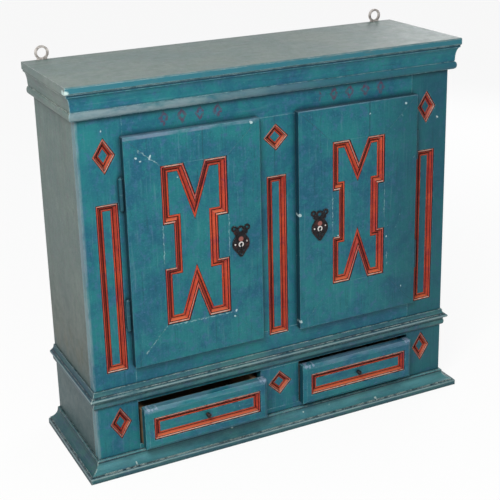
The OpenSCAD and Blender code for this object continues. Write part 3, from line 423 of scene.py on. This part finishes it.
def touch_frieze(s, colour):
    """Two faint rows of small brushed lozenges, below the painted shadow line of the cornice."""
    pitch, middle = 0.036, 0.6975
    place = s.wander()
    colour = cornice_shadow_line(s, colour)
    along = s.dot(s.vector("ADD", place, (1.004, 0, 0)), (1 / pitch, 0, 0))
    across = s.math("SUBTRACT", s.math("FRACT", along, clamp=False), 0.5, clamp=False)
    across = s.math("ABSOLUTE", across)
    rise = s.math("ABSOLUTE", s.dot(s.vector("SUBTRACT", place, (0, 0, middle)), Z))
    shape = s.math("ADD", s.times(across, 1.8), s.times(rise, 34.0))
    mask = s.times(s.span(shape, 0.56, 0.44), s.span(shape, 0.16, 0.26))
    rows = s.math("ADD", s.times(s.along(X, -0.256, -0.250), s.along(X, -0.098, -0.104)),
                  s.times(s.along(X, 0.094, 0.100), s.along(X, 0.258, 0.252)))
    faint = s.span(s.noise(140.0, detail=5, rough=0.7, shift=(0.3, 2.0, 1.0)), 0.34, 0.62)
    return s.cover(colour, MAROON, s.times(s.times(mask, rows), faint), 0.95)


def touch_cornice(s, colour):
    """Painted shadow along the top, under the top board; the lower bead is bleached at the left end."""
    low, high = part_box("cornice_front")[0][2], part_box("cornice_front")[1][2]
    bead = s.times(s.along(Z, low + 0.0005, low + 0.002), s.along(Z, low + 0.0175, low + 0.0145))
    left = s.along(X, 0.18, -0.30)
    patchy = s.noise(40.0, (0.4, 1, 1), detail=5, rough=0.7, shift=(1.0, 1.0, 6.0))
    patchy = s.span(patchy, 0.22, 0.60)
    # Painted shadow under the top board
    colour = s.cover(colour, DEEP_SHADE_AND_DIRT, s.along(Z, high - 0.0045, high - 0.0030), 0.8)
    colour = s.cover(colour, WEATHERED[0], bead, 0.60)
    return s.cover(colour, BLEACHED, s.times(bead, s.times(left, patchy)), 0.62)


def touch_lines(name, shade_shares, highlight_share):
    """Painted shade in the hollows and a painted highlight on a ridge along a moulding, given as shares of
    its height.
    """
    low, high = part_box(name)[0][2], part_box(name)[1][2]

    def line(s, share, half):
        z = low + share * (high - low)
        return s.times(s.along(Z, z - half, z - 0.4 * half), s.along(Z, z + half, z + 0.4 * half))

    def touch(s, colour):
        broken = s.noise(26.0, (0.3, 0.3, 1), detail=5, rough=0.7, shift=(2.0, 6.0, 0.0))
        broken = s.span(broken, 0.26, 0.50)
        # Painted shade lines in the hollows
        for share in shade_shares:
            colour = s.cover(colour, DEEP_SHADE_AND_DIRT, s.times(line(s, share, 0.0022), broken), 0.85)
        # Painted highlight along the ridge
        return s.cover(colour, RIDGE_HIGHLIGHT, s.times(line(s, highlight_share, 0.0018), broken), 0.55)

    return touch


touch_waist = touch_lines("waist_front", (0.04, 0.45, 0.71), 0.60)
touch_skirting = touch_lines("base_front", (0.37, 0.90), 0.28)


def touch_base(s, colour):
    """The slope of the base is brighter in patches, and chipped."""
    chips = [(0.223, 0.014, 0.0030), (-0.115, 0.030, 0.0034), (-0.330, 0.016, 0.0024),
             (0.050, 0.022, 0.0020)]
    patchy = s.span(s.noise(24.0, (0.4, 1, 1), detail=6, rough=0.7), 0.30, 0.66)
    colour = s.cover(colour, BASE_SLOPE, s.times(s.facing(UP, 0.10, 0.60), patchy), 0.60)
    colour = touch_skirting(s, colour)
    return s.cover(colour, BASE_CHIP, s.marks(chips), 0.8)


def touch_side(s, colour):
    """A side is darker lower down, with dirt in upright streaks, and bare wood inside."""
    streaks = s.noise(26.0, (1, 1, 0.10), detail=5, rough=0.65, shift=(0, 3.0, 0))
    # Darker towards the bottom
    colour = s.cover(colour, SIDE_DULL, s.along(Z, 0.70, 0.25), 0.32)
    colour = s.cover(colour, SIDE_LOW_DARK, s.along(Z, 0.42, 0.18), 0.60)
    damp = s.noise(30.0, (1, 1, 0.5), detail=6, rough=0.7, shift=(5.0, 1.0, 8.0))
    damp = s.times(s.span(damp, 0.46, 0.60), s.along(Z, 0.34, 0.18))
    colour = s.cover(colour, SIDE_DAMP, damp, 0.50)
    colour = s.cover(colour, SIDE_FOOT, s.along(Z, 0.23, 0.15), 0.80)
    colour = s.cover(colour, FADED[3], s.span(streaks, 0.46, 0.70), 0.26)
    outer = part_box("side_right")[1][0]
    from_middle = s.math("ABSOLUTE", s.dot(s.place, X), clamp=False)
    inside = s.span(from_middle, outer - 0.0008, outer - 0.0016)
    rings = s.noise(55.0, GRAIN["z"], detail=3, warp=1.2)
    return s.mix(colour, s.mix(*WOOD, s.span(rings, 0.35, 0.65)), inside)


def touch_top(s, colour):
    """The front edge of the top is painted like the front, and its left corner is chipped."""
    front = s.facing(ROOM, 0.55, 0.85)
    patchy = s.span(s.noise(28.0, (0.3, 1, 1), detail=5, rough=0.7), 0.24, 0.50)
    colour = s.cover(colour, TOP_EDGE, s.times(front, patchy), 0.92)
    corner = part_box("top_board")[0]
    near = s.along(Y, corner[1] + 0.022, corner[1] + 0.012)
    return s.cover(colour, TOP_CHIP, s.times(s.spot(corner[0], corner[2], 0.009), near))


def touch_drawer(side):
    """A drawer's top bevel is bleached, its end that faces left gets painted shade, and its upper corners
    are chipped.
    """
    (x0, _, _), (x1, _, z1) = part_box(f"{side}_drawer_front")
    ends = [(x0 + 0.008, z1 - 0.002, 0.0042), (x0 + 0.015, z1 - 0.003, 0.0036),
            (x0 + 0.024, z1 - 0.002, 0.0030), (x1 - 0.006, z1 - 0.001, 0.0045),
            (x1 - 0.013, z1 - 0.001, 0.0030)]

    def touch(s, colour):
        patchy = s.span(s.noise(50.0, (0.3, 1, 1)), 0.35, 0.6)
        colour = s.cover(colour, LILAC, s.times(s.along(Z, z1 - 0.010, z1 - 0.004), patchy), 0.35)
        # Painted shade on the end that faces left
        colour = s.cover(colour, DEEP_SHADE_AND_DIRT, s.facing(LEFT, 0.70, 0.90), 0.6)
        return s.cover(colour, DRAWER_CHIP, s.marks(ends), 0.55)

    return touch


def touch_red(front):
    """The narrow outer bead, at the front, is rubbed pale and takes a painted highlight where it lies
    level; slopes that face up are dusty and take a painted highlight.
    """
    def touch(s, colour):
        bead = s.along(Y, front + 0.0016, front + 0.0008)
        patchy = s.span(s.noise(80.0, detail=4, rough=0.7, shift=(4.0, 0.0, 2.0)), 0.25, 0.60)
        level = s.span(s.math("ABSOLUTE", s.dot(s.own_normal, UP)), 0.10, 0.40)
        # Dust and painted highlight on slopes that face up
        colour = s.cover(colour, SALMON, s.facing(UP, 0.25, 0.65), 0.45)
        colour = s.cover(colour, BEAD_RED, bead, 0.30)
        # Rubbed paint and painted highlight on the level runs of the bead
        return s.cover(colour, CREAM, s.times(s.times(bead, level), patchy), 0.75)

    return touch


def dress_case():
    dress(["drawer_stile"], painted("teal_upright", "z", TEAL))
    dress(["stile_left", "stile_right", "stile_centre"],
          painted("teal_stiles", "z", TEAL, wear=0.55, rim=0.0018, touch=touch_stiles))
    dress(["waist_rail", "bottom_rail"], painted("teal_level", "x", TEAL))
    dress(["frieze_rail"], painted("teal_frieze", "x", TEAL, touch=touch_frieze))
    dress(["cornice_front"], painted("teal_cornice", "x", TEAL, wear=0.9, touch=touch_cornice))
    dress(["waist_front"],
          painted("weathered_waist", "x", WEATHERED, wear=1.0, rim=0.0026, touch=touch_waist))
    dress(["base_front"],
          painted("weathered_base", "x", WEATHERED, wear=0.8, rim=0.003, touch=touch_base))
    dress(["waist_left", "waist_right"],
          painted("side_waist", "y", SIDE_TEAL, wear=0.7, rim=0.002, touch=touch_waist))
    dress(["base_left", "base_right"],
          painted("side_base", "y", SIDE_TEAL, wear=0.7, rim=0.003, touch=touch_skirting))
    for side in ("left", "right"):
        door = painted(f"teal_{side}_door", "z", TEAL, wear=0.45, rim=0.0016, touch=touch_door(side))
        dress([f"{side}_door_{part}" for part in ("core", "boards", "blocks", "field")], door)
        dress([f"{side}_drawer_front"], painted(f"teal_{side}_drawer", "x", TEAL, touch=touch_drawer(side)))
    dress(["side_left", "side_right"], painted("faded_side", "z", FADED, mottle=1.6, touch=touch_side))
    dress(["cornice_left", "cornice_right"], painted("faded_cornice", "y", FADED, rim=0.003, mottle=1.6))
    dress(["top_board"], painted("faded_top", "x", TOP, chips=0.3, mottle=1.6, touch=touch_top))


def dress_red():
    for name in ("tall_mouldings", "lozenges", "left_door_moulding", "right_door_moulding",
                 "left_drawer_moulding", "right_drawer_moulding"):
        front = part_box(name)[0][1]
        red = painted(f"red_{name}", "z", RED, wear=0.12, chips=0.3, rim=0.0010, touch=touch_red(front))
        dress([name], red)


def touch_back(s, colour):
    """Each board of the back has its own tone, and a dark joint beside it."""
    left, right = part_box("back_boards")[0][0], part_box("back_boards")[1][0]
    lap = s.times(s.facing(WALL, 0.40, 0.60), BACK_LAP)
    across = s.math("SUBTRACT", s.dot(s.place, X), left, clamp=False)
    across = s.math("SUBTRACT", across, lap, clamp=False)
    place = s.math("MAXIMUM", s.times(across, BACK_COUNT / (right - left)), 0.02, clamp=False)
    share, number = (s.math(how, place, clamp=False) for how in ("FRACT", "FLOOR"))
    tone = s.node("ShaderNodeTexWhiteNoise", {"W": number}, noise_dimensions="1D")
    colour = s.cover(colour, BOARD_TONE, tone.outputs["Value"], 0.55)
    joint = s.math("MAXIMUM", s.span(share, 0.010, 0.004), s.span(share, 0.990, 0.996))
    return s.cover(colour, BOARD_JOINT, joint, 0.9)


def dress_inside():
    level = bare_wood("bare_level", "x")
    deep = bare_wood("bare_deep", "y")
    dress(["bottom_board", "middle_deck", "shelf"], level)
    dress(["back_boards"], bare_wood("bare_back", "z", touch_back))
    dress(["shelf_cleats", "drawer_guides"], deep)
    for side in ("left", "right"):
        dress([f"{side}_door_battens", f"{side}_drawer_bottom"], level)
        dress([f"{side}_drawer_sides"], deep)


def keyhole(side):
    """The middle of the keyhole on the front of an escutcheon."""
    low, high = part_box(f"{side}_escutcheon")
    return Vector(((low[0] + high[0]) / 2, low[1], low[2] + KEYHOLE_UP))


def dress_iron():
    """Dresses the iron and returns the pale kind, for the nails."""
    dark = wrought_iron("iron_dark")
    pale = wrought_iron("iron_pale", PALE_IRON, rust=0.15, wear=0.8)
    dress(["hanger_left", "hanger_right"], pale)
    dress(["frame_hinges", "left_door_hinges", "right_door_hinges"],
          painted("painted_hinge", "z", HINGE, wear=0.25))
    for side in ("left", "right"):
        dress([f"{side}_lock_case", f"{side}_lock_bolt", f"{side}_drawer_knob"], dark)
        dress([f"{side}_escutcheon"], wrought_iron(f"iron_plate_{side}", bright=tuple(keyhole(side))))
    return pale


def link(name, mesh, material):
    """Puts a smooth mesh in the scene."""
    piece = bpy.data.objects.new(name, mesh)
    mesh.materials.append(material)
    for face in mesh.polygons:
        face.use_smooth = True
    bpy.context.scene.collection.objects.link(piece)
    return piece


def dome(mesh, centre, radius, height, steps=16, rings=5):
    """A low hammered head that faces the room, closed at the back."""
    rows = []
    for i in range(rings):
        angle = math.pi / 2 * i / rings
        r, out = radius * math.cos(angle), height * math.sin(angle)
        rows.append([mesh.verts.new(centre + Vector((r * math.cos(a), -out, r * math.sin(a))))
                     for a in (2 * math.pi * k / steps for k in range(steps))])
    for low, high in zip(rows, rows[1:]):
        for k in range(steps):
            mesh.faces.new((low[k], low[(k + 1) % steps], high[(k + 1) % steps], high[k]))
    mesh.faces.new(rows[-1])
    mesh.faces.new(rows[0][::-1])


def plate_nails(side, material):
    """The two nails beside each keyhole."""
    hole = keyhole(side)
    mesh = bmesh.new()
    for across, rise in NAIL_PLACES:
        dome(mesh, hole + Vector((across, NAIL_SINK, rise)), NAIL_RADIUS, NAIL_RISE)
    bmesh.ops.recalc_face_normals(mesh, faces=mesh.faces)
    data = bpy.data.meshes.new(f"{side}_plate_nails")
    mesh.to_mesh(data)
    mesh.free()
    piece = link(f"{side}_plate_nails", data, material)
    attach(piece, f"{side}_door")


def seen_rays(tree):
    """1 for the rays that show a background: to the camera, and in metal and glass."""
    rays = tree.nodes.new("ShaderNodeLightPath").outputs
    seen = rays["Is Camera Ray"]
    for name in ("Is Glossy Ray", "Is Transmission Ray"):
        either = tree.nodes.new("ShaderNodeMath")
        either.operation = "MAXIMUM"
        tree.links.new(seen, either.inputs[0])
        tree.links.new(rays[name], either.inputs[1])
        seen = either.outputs[0]
    return seen


def make_stage():
    """A pale floor that shows white to the camera but keeps part of the cupboard's shadow."""
    shader = Shader("floor")
    tree, out = shader.material.node_tree, shader.nodes["Material Output"]
    cloth = shader.noise(60.0, detail=2)
    shader.finish(shader.mix(*FLOOR_TONES, cloth), 0.9, cloth, 0.0002)
    glow = shader.node("ShaderNodeEmission", {"Color": WHITE, "Strength": 1.0})
    blend = shader.node("ShaderNodeMixShader", {0: shader.times(seen_rays(tree), FLOOR_GLOW)})
    tree.links.new(shader.out.outputs[0], blend.inputs[1])
    tree.links.new(glow.outputs[0], blend.inputs[2])
    tree.links.new(blend.outputs[0], out.inputs["Surface"])
    mesh = bmesh.new()
    bmesh.ops.create_grid(mesh, x_segments=2, y_segments=2, size=FLOOR_HALF)
    data = bpy.data.meshes.new("floor")
    mesh.to_mesh(data)
    mesh.free()
    floor = link("floor", data, shader.material)
    floor.location.z = -FLOOR_DROP


def make_world():
    """A soft sky that lights the cupboard, and looks white itself."""
    world = bpy.data.worlds.new("studio")
    bpy.context.scene.world = world
    world.use_nodes = True
    nodes, links = world.node_tree.nodes, world.node_tree.links
    fill = nodes["Background"]
    fill.inputs["Color"].default_value = SKY_TINT
    fill.inputs["Strength"].default_value = SKY_FILL
    white = nodes.new("ShaderNodeBackground")
    white.inputs["Color"].default_value = WHITE
    blend = nodes.new("ShaderNodeMixShader")
    links.new(seen_rays(world.node_tree), blend.inputs[0])
    links.new(fill.outputs[0], blend.inputs[1])
    links.new(white.outputs[0], blend.inputs[2])
    links.new(blend.outputs[0], nodes["World Output"].inputs["Surface"])


def make_lamp(name, place, size, power, colour):
    """A square area lamp that faces the middle of the cupboard."""
    data = bpy.data.lights.new(name, "AREA")
    data.size = size
    data.energy = power
    data.color = colour
    lamp = bpy.data.objects.new(name, data)
    lamp.location = place
    lamp.rotation_euler = (AIM - Vector(place)).to_track_quat("-Z", "Y").to_euler()
    bpy.context.scene.collection.objects.link(lamp)


def make_light():
    make_world()
    for name, lamp in LAMPS.items():
        make_lamp(name, *lamp)
    bpy.context.scene.view_settings.view_transform = "Standard"


make_camera()
make_stage()
make_light()
dress_case()
dress_red()
dress_inside()
nail_iron = dress_iron()
for door in ("left", "right"):
    plate_nails(door, nail_iron)
